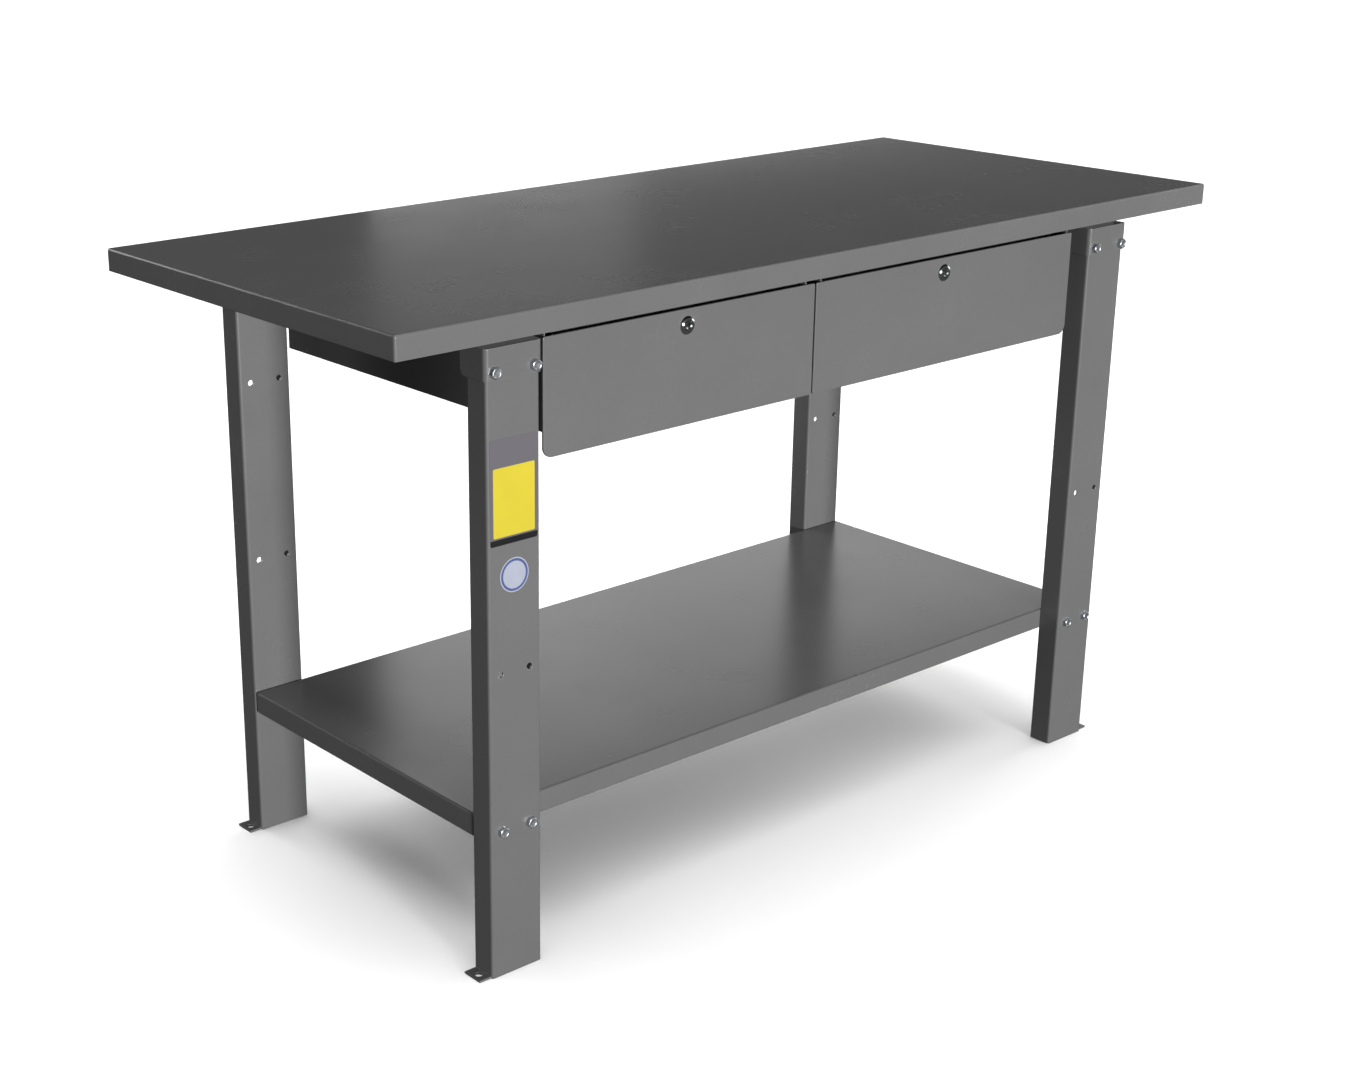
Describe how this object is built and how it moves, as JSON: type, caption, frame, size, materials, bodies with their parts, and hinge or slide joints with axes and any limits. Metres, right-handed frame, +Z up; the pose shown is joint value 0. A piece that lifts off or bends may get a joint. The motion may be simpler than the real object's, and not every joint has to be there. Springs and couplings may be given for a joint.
{
  "type": "workbench with drawers",
  "caption": "Steel workbench with a folded sheet top on bolted channel legs, lockable drawers hung under the top on telescopic slides, and a low shelf.",
  "frame": {"origin": "on the floor, under the middle of the worktop", "axes": "+X along the bench to its right as seen by a person standing at the drawers, +Y towards the back of the bench, +Z up"},
  "size_m": [1.5, 0.64, 0.865],
  "materials": {
    "grey_powder_coat": "semi-gloss",
    "zinc_plate": "bright",
    "slide_steel": "satin",
    "lock_chrome": "polished",
    "sticker_dark": "satin",
    "sticker_yellow": "satin",
    "sticker_pale": "satin"
  },
  "bodies": {
    "frame": {"back_panel_rivets": "zinc_plate", "frame_bolts": "zinc_plate", "frame_nuts": "zinc_plate", "housing_back": "grey_powder_coat", "housing_divider": "grey_powder_coat", "housing_screws": "zinc_plate", "housing_side_left": "grey_powder_coat", "housing_side_right": "grey_powder_coat", "left_drawer_slide_outer_left": "slide_steel", "left_drawer_slide_outer_right": "slide_steel", "leg_front_left": "grey_powder_coat", "leg_front_right": "grey_powder_coat", "leg_rear_left": "grey_powder_coat", "leg_rear_right": "grey_powder_coat", "leg_socket_front_left": "grey_powder_coat", "leg_socket_front_right": "grey_powder_coat", "leg_socket_rear_left": "grey_powder_coat", "leg_socket_rear_right": "grey_powder_coat", "lock_rail_left": "grey_powder_coat", "lock_rail_right": "grey_powder_coat", "lower_shelf": "grey_powder_coat", "right_drawer_slide_outer_left": "slide_steel", "right_drawer_slide_outer_right": "slide_steel", "shelf_channel": "grey_powder_coat", "shelf_long_bolts": "zinc_plate", "shelf_spacer_left": "grey_powder_coat", "shelf_spacer_right": "grey_powder_coat", "slide_mounting_screws": "zinc_plate", "sticker_backing": "sticker_dark", "sticker_disc": "sticker_pale", "sticker_field": "sticker_yellow", "worktop_channel_front": "grey_powder_coat", "worktop_channel_middle": "grey_powder_coat", "worktop_channel_rear": "grey_powder_coat", "worktop_pan": "grey_powder_coat"},
    "left_slides": {"left_drawer_slide_middle_left": "slide_steel", "left_drawer_slide_middle_right": "slide_steel"},
    "left_drawer": {"left_drawer_box": "grey_powder_coat", "left_drawer_front": "grey_powder_coat", "left_drawer_front_screws": "zinc_plate", "left_drawer_slide_inner_left": "slide_steel", "left_drawer_slide_inner_right": "slide_steel", "left_drawer_slide_screws": "zinc_plate", "left_drawer_lock_cylinder": "lock_chrome", "left_drawer_lock_nut": "zinc_plate"},
    "left_lock": {"left_drawer_lock_plug": "lock_chrome", "left_drawer_lock_cam": "zinc_plate"},
    "right_slides": {"right_drawer_slide_middle_left": "slide_steel", "right_drawer_slide_middle_right": "slide_steel"},
    "right_drawer": {"right_drawer_box": "grey_powder_coat", "right_drawer_front": "grey_powder_coat", "right_drawer_front_screws": "zinc_plate", "right_drawer_slide_inner_left": "slide_steel", "right_drawer_slide_inner_right": "slide_steel", "right_drawer_slide_screws": "zinc_plate", "right_drawer_lock_cylinder": "lock_chrome", "right_drawer_lock_nut": "zinc_plate"},
    "right_lock": {"right_drawer_lock_plug": "lock_chrome", "right_drawer_lock_cam": "zinc_plate"}
  },
  "joints": [
    {"name": "left_drawer_slide", "type": "slide", "parent": "frame", "child": "left_drawer", "axis": [0, -1, 0], "range_m": [0, 0.45]},
    {"name": "left_middle_slide", "type": "slide", "parent": "frame", "child": "left_slides", "axis": [0, -1, 0], "range_m": [0, 0.225]},
    {"name": "left_lock_turn", "type": "hinge", "parent": "left_drawer", "child": "left_lock", "pos_m": [-0.2674, -0.2707, 0.794], "axis": [0, 1, 0], "range_deg": [0, 90]},
    {"name": "right_drawer_slide", "type": "slide", "parent": "frame", "child": "right_drawer", "axis": [0, -1, 0], "range_m": [0, 0.45]},
    {"name": "right_middle_slide", "type": "slide", "parent": "frame", "child": "right_slides", "axis": [0, -1, 0], "range_m": [0, 0.225]},
    {"name": "right_lock_turn", "type": "hinge", "parent": "right_drawer", "child": "right_lock", "pos_m": [0.2184, -0.2707, 0.794], "axis": [0, 1, 0], "range_deg": [0, 90]}
  ],
  "couplings": [
    {"joint": "left_middle_slide", "follows": "left_drawer_slide", "ratio": 0.5},
    {"joint": "right_middle_slide", "follows": "right_drawer_slide", "ratio": 0.5}
  ]
}
